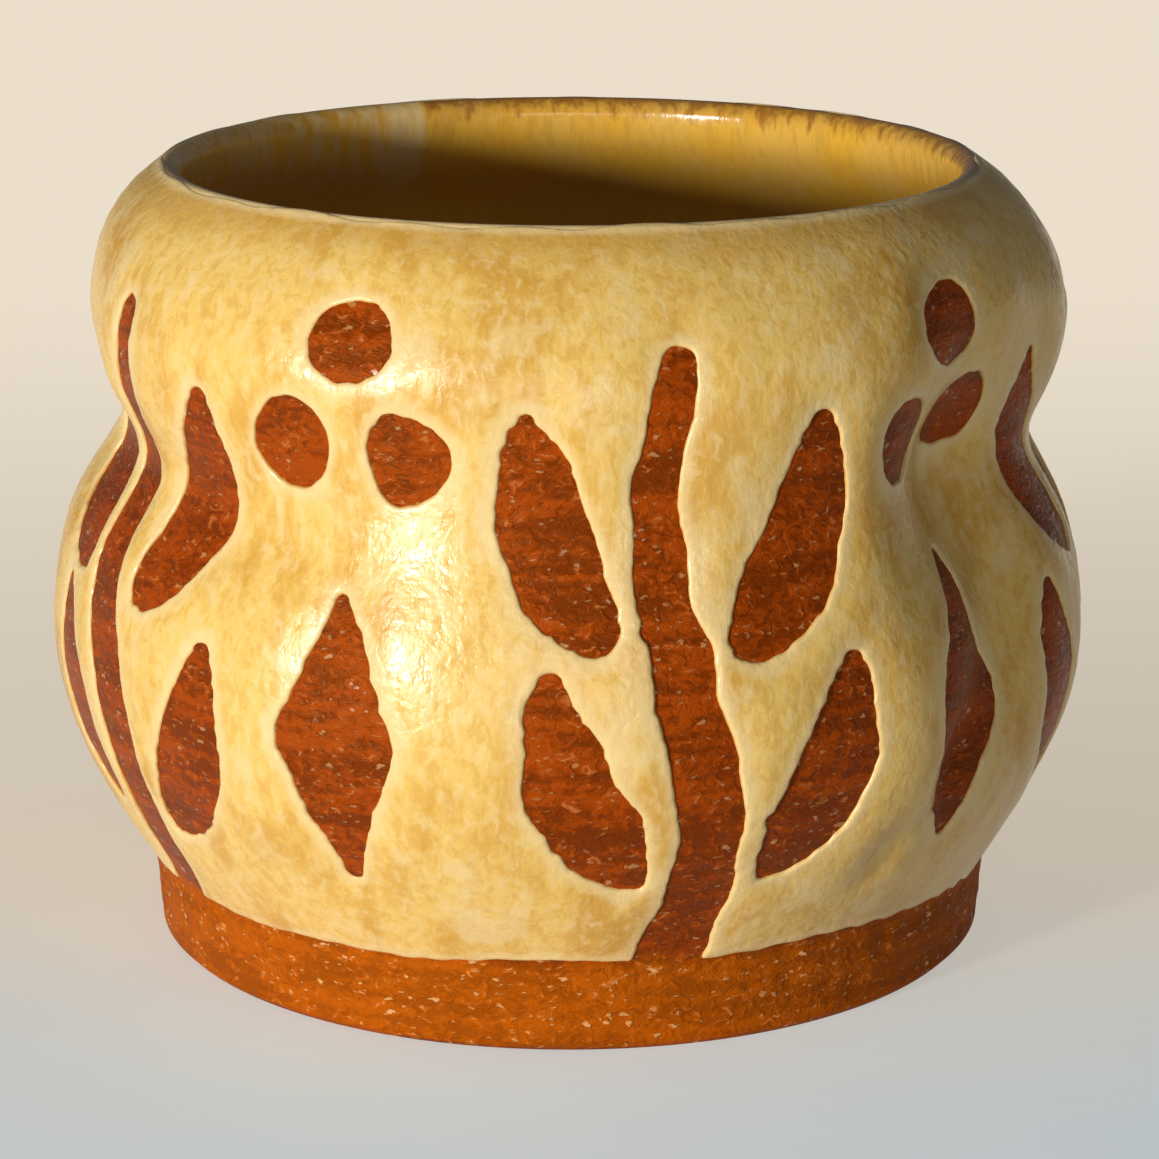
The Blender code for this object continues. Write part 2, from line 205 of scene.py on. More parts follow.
def inside_line():
    """The clay's inside from the middle of the floor up to the lip's crest, without the crest."""
    shoulder = (SHOULDER_RADIUS - SHOULDER_WALL, SHOULDER_HEIGHT)
    girth = (GIRTH_RADIUS - GIRTH_WALL, GIRTH_HEIGHT)
    lip_side = (LIP_RADIUS - LIP_ROUNDING, LIP_HEIGHT - LIP_ROUNDING)
    corner = girth[0] - FLOOR_CORNER
    return np.vstack([
        [(0, FLOOR_HEIGHT)],
        bend(
            (corner, FLOOR_HEIGHT),
            (corner + FLOOR_HOLD_OUT * FLOOR_CORNER, FLOOR_HEIGHT),
            (girth[0], FLOOR_HEIGHT + FLOOR_HOLD_UP * (GIRTH_HEIGHT - FLOOR_HEIGHT)),
            girth,
        ),
        bend(
            girth,
            (girth[0], GIRTH_HEIGHT + GIRTH_HOLD_UP * GIRTH_TO_SHOULDER),
            (shoulder[0], SHOULDER_HEIGHT - SHOULDER_HOLD_DOWN * GIRTH_TO_SHOULDER),
            shoulder,
        ),
        bend(
            shoulder,
            (shoulder[0], SHOULDER_HEIGHT + NECK_HOLD_UP * SHOULDER_TO_LIP),
            (lip_side[0], lip_side[1] - NECK_HOLD_DOWN * SHOULDER_TO_LIP),
            lip_side,
        ),
        bend(
            lip_side,
            (lip_side[0], lip_side[1] + LIP_HOLD_UP * LIP_ROUNDING),
            (LIP_RADIUS - LIP_HOLD_IN * LIP_ROUNDING, LIP_HEIGHT),
            (LIP_RADIUS, LIP_HEIGHT),
        ),
    ])


INSIDE_LINE = inside_line()
CLAY_LINE = np.vstack([INSIDE_LINE, outside_line()])
STEPS_ALONG = np.linalg.norm(np.diff(CLAY_LINE, axis=0), axis=1)
ALONG = np.concatenate([[0], np.cumsum(STEPS_ALONG)])
ALONG -= ALONG[len(INSIDE_LINE)]
OUTSIDE_LINE = CLAY_LINE[len(INSIDE_LINE):]
OUTSIDE_ALONG = ALONG[len(INSIDE_LINE):]


def foot_to_crest(values):
    """Values along the outside, from the foot's bevel up to the lip's crest."""
    return values[:STEPS_TO_FOOT + 2][::-1]


def radius_at(height):
    """The clay's outer radius at this height, before the presses."""
    return np.interp(height, foot_to_crest(OUTSIDE_LINE[:, 1]), foot_to_crest(OUTSIDE_LINE[:, 0]))


def along_at(height):
    """How far down the outside this height lies from the crest."""
    return float(np.interp(height, foot_to_crest(OUTSIDE_LINE[:, 1]), foot_to_crest(OUTSIDE_ALONG)))


WAIST_RADIUS = float(radius_at(WAIST_HEIGHT))


def shortest(turn):
    """The same turn by the shorter way round."""
    return (turn + math.pi) % math.tau - math.pi


def pressed_in(turn, height):
    """How far the fingers moved the wall towards the axis at each place."""
    depth = WAIST_GROOVE_DEPTH * np.exp(-(((height - WAIST_HEIGHT) / WAIST_GROOVE_HALF_HEIGHT) ** 2))
    for press in PRESSES:
        across = shortest(turn - math.radians(press.angle)) * WAIST_RADIUS
        up = height - WAIST_HEIGHT - press.above_waist
        lean = math.radians(press.lean)
        u = (across * math.cos(lean) - up * math.sin(lean)) / press.half_width
        v = (across * math.sin(lean) + up * math.cos(lean)) / press.half_height
        depth = depth + press.depth * np.exp(-(u * u + v * v))
    above_foot = (height - FOOT_HEIGHT) / PRESS_FADE
    below_lip = (LIP_HEIGHT - height) / PRESS_FADE
    return depth * np.clip(np.minimum(above_foot, below_lip), 0, 1)


def waves(seed, turns, rise, count=14):
    """Soft irregular waves over the wall, mostly between -1 and 1.

    Up to `turns` of them go round the cup, and none is shorter than `rise` up it.
    """
    hand = random.Random(seed)
    parts = [
        (hand.randint(-turns, turns), hand.uniform(-1, 1) * math.tau / rise, hand.uniform(0, math.tau))
        for _ in range(count)
    ]

    def height_of(turn, along):
        total = 0
        for turning, rising, start in parts:
            total = total + np.sin(turning * turn + rising * along + start)
        return total / math.sqrt(count)

    return height_of


UNEVENNESS = 0.00012
uneven = waves(seed=11, turns=5, rise=0.024)
SMALLEST_RADIUS = 1e-6


def clay_at(turn, along):
    """Points on the smooth clay, (turn, along) arrays to (..., 3)."""
    radius = np.interp(along, ALONG, CLAY_LINE[:, 0])
    height = np.interp(along, ALONG, CLAY_LINE[:, 1])
    settled = np.clip((height - FOOT_HEIGHT) / PRESS_FADE, 0, 1)
    inwards = pressed_in(turn, height) + UNEVENNESS * settled * (1 + uneven(turn, height))
    radius = np.maximum(radius - inwards, SMALLEST_RADIUS)
    return np.stack([radius * np.sin(turn), -radius * np.cos(turn), height], axis=-1)


REACH_ROUND = 0.006
REACH_ALONG = 0.0002


def clay_facing(turn, along):
    """Unit normals of the smooth clay, out of it."""
    sideways = clay_at(turn + REACH_ROUND, along) - clay_at(turn - REACH_ROUND, along)
    upwards = clay_at(turn, along - REACH_ALONG) - clay_at(turn, along + REACH_ALONG)
    normal = np.cross(sideways, upwards)
    return normal / np.linalg.norm(normal, axis=-1, keepdims=True)


def surface(turn, along, above):
    return clay_at(turn, along) + clay_facing(turn, along) * above[..., None]


Stroke = namedtuple("Stroke", "middle half_width")


def on_wall(angle, height):
    """The point at this angle in degrees and this height, in the middle of the coat."""
    turn = np.radians(angle)
    radius = radius_at(height) - pressed_in(turn, height) + MARK_ABOVE_CLAY
    return np.stack([radius * np.sin(turn), -radius * np.cos(turn), height], axis=-1)


def across_wall(middle, across, height):
    return middle + np.degrees(across / radius_at(height))


def stem_across(sway, height):
    share = (height - FOOT_HEIGHT) / (STEM_TOP - FOOT_HEIGHT)
    return STEM_SWAY * sway * np.sin(2 * np.pi * share)


def stem(middle, sway):
    share = np.linspace(0, 1, STEM_POINTS)
    height = FOOT_HEIGHT - STEM_ROOT + share * (STEM_TOP - FOOT_HEIGHT + STEM_ROOT)
    half_width = 0.5 * STEM_WIDTH * (1.08 - 0.55 * share**2)
    return Stroke(on_wall(across_wall(middle, stem_across(sway, height), height), height), half_width)


def leaf(middle, side, sway, height, lean):
    share = np.linspace(0, 1, LEAF_POINTS)
    start = side * (0.5 * STEM_WIDTH + LEAF_GAP) + stem_across(sway, height)
    turn = math.radians(lean) * (1.35 - 0.7 * share)
    across = start + side * LEAF_LENGTH * share * np.sin(turn)
    up = height + LEAF_LENGTH * share * np.cos(turn)
    fullness = np.abs(np.sin(np.pi * share**0.85)) ** 0.8
    half_width = 0.5 * LEAF_WIDTH * (0.22 + 0.78 * fullness)
    return Stroke(on_wall(across_wall(middle, across, up), up), half_width)


def lozenge(middle, lean):
    share = np.linspace(-0.5, 0.5, LOZENGE_POINTS)
    up = GIRTH_HEIGHT + share * LOZENGE_LENGTH
    across = share * LOZENGE_LENGTH * math.tan(math.radians(lean))
    half_width = 0.5 * LOZENGE_WIDTH * (1 - 1.64 * np.abs(share))
    return Stroke(on_wall(across_wall(middle, across, up), up), half_width)


def dots(middle, hand):
    pitch = DOT_WIDTH + DOT_GAP
    found = []
    for across, up in ((-0.5 * pitch, 0), (0.5 * pitch, 0), (0, 0.87 * pitch)):
        height = SHOULDER_HEIGHT - DOTS_BELOW_SHOULDER + up + hand.uniform(-1, 1) * HEIGHT_WOBBLE
        point = on_wall(across_wall(middle, across, height), np.float64(height))
        found.append(Stroke(np.stack([point, point]), np.full(2, 0.5 * DOT_WIDTH)))
    return found


def bare_strokes():
    """Every mark that the CAD source cuts, from the same draws in the same order."""
    hand = random.Random(MARK_SEED)
    strokes = []
    for number in range(SPRIGS):
        middle = FIRST_SPRIG_ANGLE + number * 360 / SPRIGS
        sway = hand.choice((-1, 1))
        strokes.append(stem(middle, sway))
        for pair in range(LEAF_PAIRS):
            pair_height = FOOT_HEIGHT + LEAF_ABOVE_FOOT + pair * LEAF_SPACING
            for side in (-1, 1):
                height = pair_height + hand.uniform(-1, 1) * HEIGHT_WOBBLE
                lean = LEAF_LEAN + hand.uniform(-1, 1) * LEAN_WOBBLE
                strokes.append(leaf(middle, side, sway, height, lean))
        between = middle + 180 / SPRIGS + hand.uniform(-1, 1) * ANGLE_WOBBLE
        strokes.append(lozenge(between, hand.uniform(-1, 1) * LEAN_WOBBLE))
        strokes += dots(between, hand)
    return strokes


FAR = 0.004


def from_stroke(points, stroke):
    """How far each point is outside one stroke, up to FAR."""
    nearest = np.full(len(points), FAR)
    centre = stroke.middle.mean(axis=0)
    reach = np.linalg.norm(stroke.middle - centre, axis=1).max() + stroke.half_width.max() + FAR
    close = np.flatnonzero(np.linalg.norm(points - centre, axis=1) < reach)
    here = points[close]
    found = nearest[close]
    for i in range(len(stroke.middle) - 1):
        start, step = stroke.middle[i], stroke.middle[i + 1] - stroke.middle[i]
        share = np.clip((here - start) @ step / max(step @ step, 1e-12), 0, 1)
        width = stroke.half_width[i] + share * (stroke.half_width[i + 1] - stroke.half_width[i])
        found = np.minimum(found, np.linalg.norm(here - start - share[:, None] * step, axis=1) - width)
    nearest[close] = found
    return nearest


# How the coat's edges wander: in broad swells, in nicks where the brush skipped, and in fine teeth
SWELL = 0.00022
NICK = 0.00010
NICK_STARTS = 0.4
TOOTH = 0.000045
FOOT_SWELL = 0.00016
FOOT_NICK = 0.00008
FOOT_DROP = 0.0001
swell = waves(seed=21, turns=40, rise=0.0050)
nick = waves(seed=22, turns=90, rise=0.0022)
tooth = waves(seed=23, turns=200, rise=0.0011, count=20)
foot_swell = waves(seed=24, turns=14, rise=1.0, count=9)
foot_nick = waves(seed=25, turns=90, rise=1.0, count=12)
lip_swell = waves(seed=26, turns=24, rise=1.0, count=12)

STROKES = bare_strokes()
UPPER_EDGE = 0.00005
UPPER_EDGE_WAVE = 0.00012


def below_upper_edge(turn, along):
    """How far each place is below the coat's upper edge, which waves along the lip's crest."""
    return along - UPPER_EDGE + UPPER_EDGE_WAVE * lip_swell(turn, 0)


FOOT_TOP_ALONG = along_at(FOOT_HEIGHT)


def above_lower_edge(turn, along):
    """How far each place is above the coat's lower edge, which waves along the top of the foot."""
    wave = 0.5 + 0.3 * np.sin(3 * turn + 0.8) + 0.2 * np.sin(7 * turn + 2.1)
    lift = GLAZE_EDGE_WAVE * wave + FOOT_SWELL * foot_swell(turn, 0) + FOOT_NICK * foot_nick(turn, 0)
    return FOOT_TOP_ALONG - lift + FOOT_DROP - along


def from_marks(turn, along):
    """How far each place is outside the bare marks and above the foot, with the wandering of a real edge."""
    points = surface(turn, along, np.full(turn.shape, MARK_ABOVE_CLAY))
    nearest = np.full(len(points), FAR)
    for stroke in STROKES:
        nearest = np.minimum(nearest, from_stroke(points, stroke))
    nicks = np.maximum(nick(turn, along) - NICK_STARTS, 0) ** 2
    wandering = SWELL * swell(turn, along) - NICK * nicks + TOOTH * tooth(turn, along)
    return np.minimum(nearest + wandering, above_lower_edge(turn, along))


def from_edge(turn, along):
    """How far each place is inside the coat, from any of its edges."""
    return np.minimum(from_marks(turn, along), below_upper_edge(turn, along))


def mesh_of(name, points, faces):
    mesh = bpy.data.meshes.new(name)
    mesh.from_pydata(points, [], faces)
    mesh.validate()
    return mesh


def ring_faces(rows, columns):
    """Quads between neighbouring rings of a turned grid."""
    row, column = np.meshgrid(np.arange(rows - 1), np.arange(columns), indexing="ij")
    here = row * columns + column
    after = row * columns + (column + 1) % columns
    return np.stack([here + columns, after + columns, after, here], axis=-1).reshape(-1, 4)


def turned_grid(columns, rows):
    """Places all round the cup along each of these rows: an array of turns and one of alongs."""
    return np.meshgrid(np.linspace(0, math.tau, columns, endpoint=False), rows)


def carry(mesh, **measures):
    """Gives the mesh a number at each vertex under each name, for its material to read."""
    for name, values in measures.items():
        carried = mesh.attributes.new(name, "FLOAT", "POINT")
        carried.data.foreach_set("value", values.astype(np.float32))


def add_piece(name, mesh, node, finish):
    """Dresses a CAD node in this mesh, and hides the node."""
    piece = bpy.data.objects.new(name, mesh)
    bpy.context.scene.collection.objects.link(piece)
    mesh.materials.append(finish)
    mesh.shade_smooth()
    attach(piece, "root")
    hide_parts(node)
    return piece


WELDED_WITHIN = 0.000004


def weld(mesh):
    welder = bmesh.new()
    welder.from_mesh(mesh)
    bmesh.ops.remove_doubles(welder, verts=welder.verts, dist=WELDED_WITHIN)
    bmesh.ops.recalc_face_normals(welder, faces=welder.faces)
    welder.to_mesh(mesh)
    welder.free()


def a_colour(name, text, default):
    return bpy.props.FloatVectorProperty(
        name=name, description=text, subtype="COLOR", size=3, min=0, max=1, default=default
    )


def a_number(name, text, default, **kind):
    return bpy.props.FloatProperty(name=name, description=text, default=default, min=0, **kind)


def a_length(name, text, default, largest):
    return a_number(name, text, default, max=largest, unit="LENGTH", precision=5)


def a_share(name, text, default):
    return a_number(name, text, default, max=1, subtype="FACTOR")


class CupCoats(bpy.types.PropertyGroup):
    """How thick the coats are and how fine their meshes"""

    slip: a_length("Slip", "How far the wall's bare clay stands out past its outline", 0.00020, 0.0003)
    cream_thickness: a_length("Cream thickness", "Thickness of the outer coat", 0.00048, 0.00055)
    edge_thickness: a_length("Edge thickness", "Thickness of the outer coat by its edges", 0.00026, 0.00055)
    rounding: a_length("Rounding", "How far the outer coat's rounded edge reaches", 0.00034, 0.003)
    swelling: a_length("Swelling", "How far from its edges the outer coat is thickest", 0.0026, 0.01)
    amber_thickness: a_length("Amber thickness", "Thickness of the liner", 0.00055, 0.00075)
    lip_thickness: a_length("Lip thickness", "Thickness of either coat at the lip's crest", 0.00016, 0.0003)
    cell: a_length("Cell", "Size of the outer coat's faces away from its edges", 0.00138, 0.002)


class CupColours(bpy.types.PropertyGroup):
    """Colours of the clay and the glazes"""

    cream: a_colour("Cream", "Outer coat where it is of middling thickness", (0.84, 0.56, 0.150))
    ochre: a_colour("Ochre", "Outer coat where it is thin", (0.66, 0.35, 0.050))
    # Pale also paints the highlights along the lip's crest, on the outer coat and on the front of the liner.
    pale: a_colour("Pale", "Outer coat where it is thick, along its edges", (0.86, 0.65, 0.31))
    amber: a_colour("Amber", "Liner", (0.90, 0.50, 0.055))
    # Lip brown also darkens the liner deeper down, as painted shade.
    lip_brown: a_colour("Lip brown", "Liner where it thins out over the lip", (0.26, 0.080, 0.010))
    clay: a_colour("Clay", "Bare clay in the marks", (0.36, 0.054, 0.0012))
    foot_clay: a_colour("Foot clay", "Bare clay of the foot, which the kiln toasted", (0.47, 0.097, 0.0010))
    grog: a_colour("Grog", "Pale grains in the clay", (0.86, 0.46, 0.16))


class CupStage(bpy.types.PropertyGroup):
    """Floor, lamps and camera"""

    floor: a_colour("Floor", "Floor under the cup", (0.75, 0.83, 0.865))
    far_floor: a_colour("Far floor", "Floor further back, and the backdrop", (0.95, 0.84, 0.69))
    near_glow: a_share("Near glow", "Share of the near floor's look that no lamp changes", 0.53)
    far_glow: a_share("Far glow", "Share of the backdrop's look that no lamp changes", 0.85)
    key: a_number("Key", "Power of the lamp at the left", 5.8, unit="POWER")
    front: a_number("Front", "Power of the wide, low lamp in front", 0.74, unit="POWER")
    fill: a_number("Fill", "Strength of the light from all round", 0.11)


class Finish:
    """A procedural material in the making, with short ways to add what the glazes and the clay share."""

    def __init__(self, name):
        self.material = bpy.data.materials.new(name)
        self.material.use_nodes = True
        self.tree = self.material.node_tree
        self.shader = self.tree.nodes["Principled BSDF"]
        self.place = self.add("ShaderNodeTexCoord").outputs["Object"]

    def feed(self, node, inputs):
        """Links each of these inputs to a socket, or sets it to a plain value."""
        for name, value in inputs.items():
            if isinstance(value, bpy.types.NodeSocket):
                self.tree.links.new(value, node.inputs[name])
            else:
                node.inputs[name].default_value = value

    def add(self, kind, inputs=None, **settings):
        node = self.tree.nodes.new(kind)
        for name, value in settings.items():
            setattr(node, name, value)
        self.feed(node, inputs or {})
        return node

    def sum_up(self, operation, *values):
        return self.add("ShaderNodeMath", dict(enumerate(values)), operation=operation).outputs[0]

    def plus(self, *values):
        return self.sum_up("ADD", *values)

    def times(self, *values):
        return self.sum_up("MULTIPLY", *values)

    def swing(self, value, reach):
        """How far the value is from one half, times this reach."""
        return self.times(self.sum_up("SUBTRACT", value, 0.5), reach)

    def weigh(self, *parts):
        """The sum of values, each times its weight."""
        products = [self.times(value, weight) for value, weight in parts]
        total = products[0]
        for product in products[1:]:
            total = self.plus(total, product)
        return total

    def spread(self, value, low, high, to_low=0.0, to_high=1.0):
        """Maps low..high to to_low..to_high, and holds it there outside."""
        ends = {"From Min": low, "From Max": high, "To Min": to_low, "To Max": to_high}
        node = self.add("ShaderNodeMapRange", {"Value": value, **ends}, interpolation_type="SMOOTHSTEP")
        return node.outputs["Result"]

    def along(self, axis):
        """Where each place lies along one axis."""
        return self.add("ShaderNodeSeparateXYZ", {0: self.place}).outputs[axis]

    def stretched(self, across, up):
        """Coordinates in which a pattern is this much longer across and up."""
        inputs = {"Scale": (1 / across, 1 / across, 1 / up), "Vector": self.place}
        return self.add("ShaderNodeMapping", inputs).outputs["Vector"]

    def bent(self, size, reach, vector):
        """The coordinates, pushed about by up to half this reach."""
        push = self.add("ShaderNodeTexNoise", {"Vector": vector, "Scale": 1 / size})
        scaled = {0: push.outputs["Color"], "Scale": reach}
        scaled = self.add("ShaderNodeVectorMath", scaled, operation="SCALE").outputs[0]
        return self.add("ShaderNodeVectorMath", {0: vector, 1: scaled}, operation="ADD").outputs[0]

    def noise(self, size, detail=3.0, roughness=0.5, vector=None, distortion=0.0):
        """Noise with lumps about this size, in metres."""
        node = self.add("ShaderNodeTexNoise", {
            "Vector": vector or self.place,
            "Scale": 1 / size,
            "Detail": detail,
            "Roughness": roughness,
            "Distortion": distortion,
        })
        return node.outputs["Fac"]

    def grains(self, size, share, grain, vector=None):
        """Scattered grains: 1 inside, 0 outside. This share of cells of this size holds one each."""
        cells = {"Vector": vector or self.place, "Scale": 1 / size}
        node = self.add("ShaderNodeTexVoronoi", cells, feature="F1")
        chosen = self.add("ShaderNodeSeparateColor", {0: node.outputs["Color"]})
        inside = self.spread(node.outputs["Distance"], grain, grain * 0.6)
        return self.times(inside, self.sum_up("LESS_THAN", chosen.outputs[0], share))

    def blend(self, share, first, second):
        """The first colour, and this share of the second over it."""
        ends = [c if isinstance(c, bpy.types.NodeSocket) else (*c, 1) for c in (first, second)]
        node = self.add("ShaderNodeMix", {"Factor": share, "A": ends[0], "B": ends[1]}, data_type="RGBA")
        return node.outputs["Result"]

    def layered(self, ground, *layers):
        """The ground under these layers, each a share and a colour."""
        for share, over in layers:
            ground = self.blend(share, ground, over)
        return ground

    def measured(self, name):
        """A number that the mesh carries at each vertex."""
        return self.add("ShaderNodeAttribute", attribute_name=name).outputs["Fac"]

    def relief(self, *layers):
        """Adds bumps, each a height from 0 to 1 and its depth in metres."""
        under = {}
        for height, depth in layers:
            bump = self.add("ShaderNodeBump", {"Strength": 1.0, "Distance": depth, "Height": height, **under})
            under = {"Normal": bump.outputs["Normal"]}
        self.feed(self.shader, under)


def faded(rgb, share):
    """The colour, darker by this share."""
    return tuple(c * (1 - share) for c in rgb)


def make_red_clay(colours):
    """Sienna clay with throwing lines, crumbs and pale grog, toasted to orange on the foot."""
    clay = Finish("red_clay_bare")
    wander = clay.times(clay.noise(0.003, 2), 0.002)
    toasted = clay.spread(clay.plus(clay.along("Z"), wander), 0.0085, 0.0065)
    lines = clay.noise(0.0010, 2, 0.5, clay.stretched(22, 1))
    crumbs = clay.noise(0.00058, 3, 0.62, clay.stretched(1.5, 1), 0.9)
    mottle = clay.noise(0.0030, 3, 0.55, clay.stretched(2, 1))
    ground = clay.blend(toasted, colours.clay, colours.foot_clay)
    dark = clay.blend(toasted, faded(colours.clay, 0.50), faded(colours.foot_clay, 0.34))
    tone = clay.weigh((lines, 0.25), (crumbs, 0.42), (mottle, 0.33))
    ground = clay.blend(clay.spread(tone, 0.43, 0.57), dark, ground)
    bent = clay.bent(0.0004, 0.0006, clay.stretched(1.7, 1))
    large = clay.grains(0.00085, 0.30, 0.24, bent)
    small = clay.grains(0.00048, 0.44, 0.27, bent)
    specks = clay.sum_up("MAXIMUM", large, clay.times(small, 0.7))
    flecks = clay.sum_up("MAXIMUM", specks, clay.spread(crumbs, 0.60, 0.74, 0.0, 0.7))
    shown = clay.times(flecks, clay.spread(toasted, 0, 1, 0.36, 0.72))
    clay.feed(clay.shader, {
        "Base Color": clay.blend(shown, ground, colours.grog),
        "Roughness": clay.plus(clay.spread(crumbs, 0.35, 0.65, 0.34, 0.54), clay.times(toasted, 0.25)),
        "Specular IOR Level": 0.24,
        "Specular Tint": (1.0, 0.48, 0.16, 1),
        "Coat Weight": clay.times(specks, 0.5),
        "Coat Roughness": 0.22,
    })
    clay.relief((lines, 0.00009), (mottle, 0.00012), (crumbs, 0.00022), (specks, 0.00006))
    return clay.material


def make_cream_glaze(colours):
    """Satin cream, ochre where it is thin, paler along its edges, with a painted highlight as a pale line
    along the lip's crest, and a fine orange peel.
    """
    glaze = Finish("cream_glaze_thick")
    from_bare = glaze.measured("from_edge")
    below_lip = glaze.measured("from_lip")
    cloud = glaze.noise(0.011, 3, 0.5)
    runs = glaze.noise(0.0028, 4, 0.55, glaze.stretched(1, 3.2))
    curd = glaze.noise(0.00078, 3, 0.6, glaze.stretched(1, 1.7), 0.5)
    flow = glaze.weigh((cloud, 0.55), (runs, 0.45))
    patches = glaze.noise(0.0038, 3, 0.55, glaze.stretched(1, 1.6))
    edge = glaze.plus(from_bare, glaze.swing(runs, 0.0020))
    thin = glaze.spread(runs, 0.4, 0.6, 0.2, 0.8)
    rim = glaze.sum_up("SUBTRACT", thin, glaze.times(glaze.spread(from_bare, 0.0, 0.00014), thin))
    lip = glaze.plus(below_lip, glaze.swing(cloud, 0.0050))
    pits = glaze.grains(0.0045, 0.25, 0.035)
    glaze.feed(glaze.shader, {
        "Base Color": glaze.layered(
            colours.cream,
            (glaze.spread(flow, 0.46, 0.61, 0.0, 0.85), colours.ochre),
            (glaze.spread(curd, 0.36, 0.50, 0.38, 0.0), colours.ochre),
            (glaze.spread(curd, 0.50, 0.66, 0.0, 0.50), colours.pale),
            (glaze.spread(patches, 0.54, 0.68, 0.0, 0.65), colours.pale),
            (glaze.spread(edge, 0.0003, 0.0013, 0.75, 0.0), colours.pale),
            (rim, colours.ochre),
            (glaze.spread(lip, 0.0008, 0.0034, 0.50, 0.0), colours.ochre),
            # Painted highlight: a pale line along the lip's crest, all round.
            (glaze.spread(below_lip, 0.0003, 0.0009, 0.8, 0.0), colours.pale),
            (glaze.times(pits, 0.7), colours.lip_brown),
        ),
        "Roughness": glaze.spread(curd, 0.3, 0.7, 0.22, 0.40),
        "Specular IOR Level": 0.42,
    })
    peel = glaze.noise(0.00060, 2, 0.5)
    dips = glaze.sum_up("SUBTRACT", 1.0, pits)
    glaze.relief((runs, 0.00010), (peel, 0.00005), (curd, 0.00004), (dips, 0.00008))
    return glaze.material


def make_amber_glaze(colours):
    """Glossy amber, brown at the lip, darkened deeper down as painted shade, with a painted highlight along
    the front of the lip, under a streaky wipe of cream on one side.
    """
    glaze = Finish("amber_glaze_liner")
    below_lip = glaze.measured("from_lip")
    spilt = glaze.measured("spill")
    runs = glaze.noise(0.0009, 4, 0.65, glaze.stretched(1, 5))
    cloud = glaze.noise(0.005, 3, 0.5)
    # Painted shade: amber darkened with lip brown, for the inside deeper down where shade falls.
    painted_deep_shade = glaze.blend(0.62, colours.amber, colours.lip_brown)
    burnt = glaze.blend(0.40, colours.amber, colours.lip_brown)
    near_lip = glaze.spread(below_lip, 0.0004, 0.0050, 0.62, 0.18)
    lip = glaze.spread(glaze.plus(below_lip, glaze.swing(runs, 0.0045)), 0.0001, 0.0016, 0.80, 0.0)
    # Painted highlight: the front half of the cup, which faces the lamps.
    painted_highlight_front = glaze.spread(glaze.along("Y"), -0.004, -0.016)
    wiped = glaze.plus(spilt, glaze.swing(runs, 2.4))
    lower = glaze.spread(glaze.plus(below_lip, glaze.swing(cloud, 0.006)), 0.005, 0.009, 0.80, 0.0)
    glaze.feed(glaze.shader, {
        "Base Color": glaze.layered(
            colours.amber,
            (glaze.spread(cloud, 0.4, 0.65, 0.0, 0.40), colours.cream),
            # Painted shade: darker deeper inside the cup.
            (glaze.spread(below_lip, 0.006, 0.016, 0.0, 0.75), painted_deep_shade),
            (glaze.times(glaze.spread(runs, 0.45, 0.66), near_lip), burnt),
            (glaze.times(lip, glaze.spread(spilt, 0.0, 0.5, 1.0, 0.3)), colours.lip_brown),
            # Painted highlight: a pale line along the lip, on the front only.
            (glaze.times(painted_highlight_front, glaze.spread(below_lip, 0.0003, 0.0008, 0.9, 0.0)), colours.pale),
            (glaze.times(glaze.spread(wiped, 0.25, 1.0), lower), colours.pale),
        ),
        "Roughness": glaze.spread(cloud, 0.3, 0.7, 0.14, 0.24),
    })
    peel = glaze.noise(0.0014, 2, 0.5)
    glaze.relief((runs, 0.00005), (peel, 0.00005))
    return glaze.material


def ramp(value, start, end):
    """0 at the start, 1 at the end, and smooth between."""
    share = np.clip((value - start) / (end - start), 0, 1)
    return share * share * (3 - 2 * share)


SLIP_STARTS = 0.0010
LIP_TAPER = 0.0035
LINER_ENDS = 0.0006
SUNK = 0.00015


def slip_at(coats, along):
    """How far the bare clay stands out: all of it on wall and lip, nothing on the foot or deep inside."""
    above_foot = ramp(FOOT_TOP_ALONG - along, 0, SLIP_STARTS)
    return coats.slip * above_foot * ramp(along, -3 * LIP_TAPER, -LIP_TAPER)


def liner_top(coats, along):
    """How far the liner's face is from the clay's outline, which it meets just over the lip's crest."""
    growing = ramp(-along, 0, LIP_TAPER)
    thickness = coats.lip_thickness + (coats.amber_thickness - coats.lip_thickness) * growing
    ending = np.sqrt(1 - ramp(along, -LINER_ENDS, LINER_ENDS) ** 2)
    return slip_at(coats, along) * (1 - growing) + thickness * ending - SUNK * (1 - ending)


CLAY_COLUMNS = 360
OUTSIDE_ROW = 0.0005
INSIDE_ROW = 0.0014
THROWING_RIDGE = 0.00003
FOOT_ROUGHNESS = 0.00006
UNDER_LIP = 0.00020
RIDGES_FADE_IN = 0.0030
RIDGES_FADE_OUT = 0.0010
FOOT_FADE = 0.0010
throwing = waves(seed=31, turns=3, rise=0.0016, count=10)
rough_foot = waves(seed=32, turns=80, rise=0.0015, count=16)


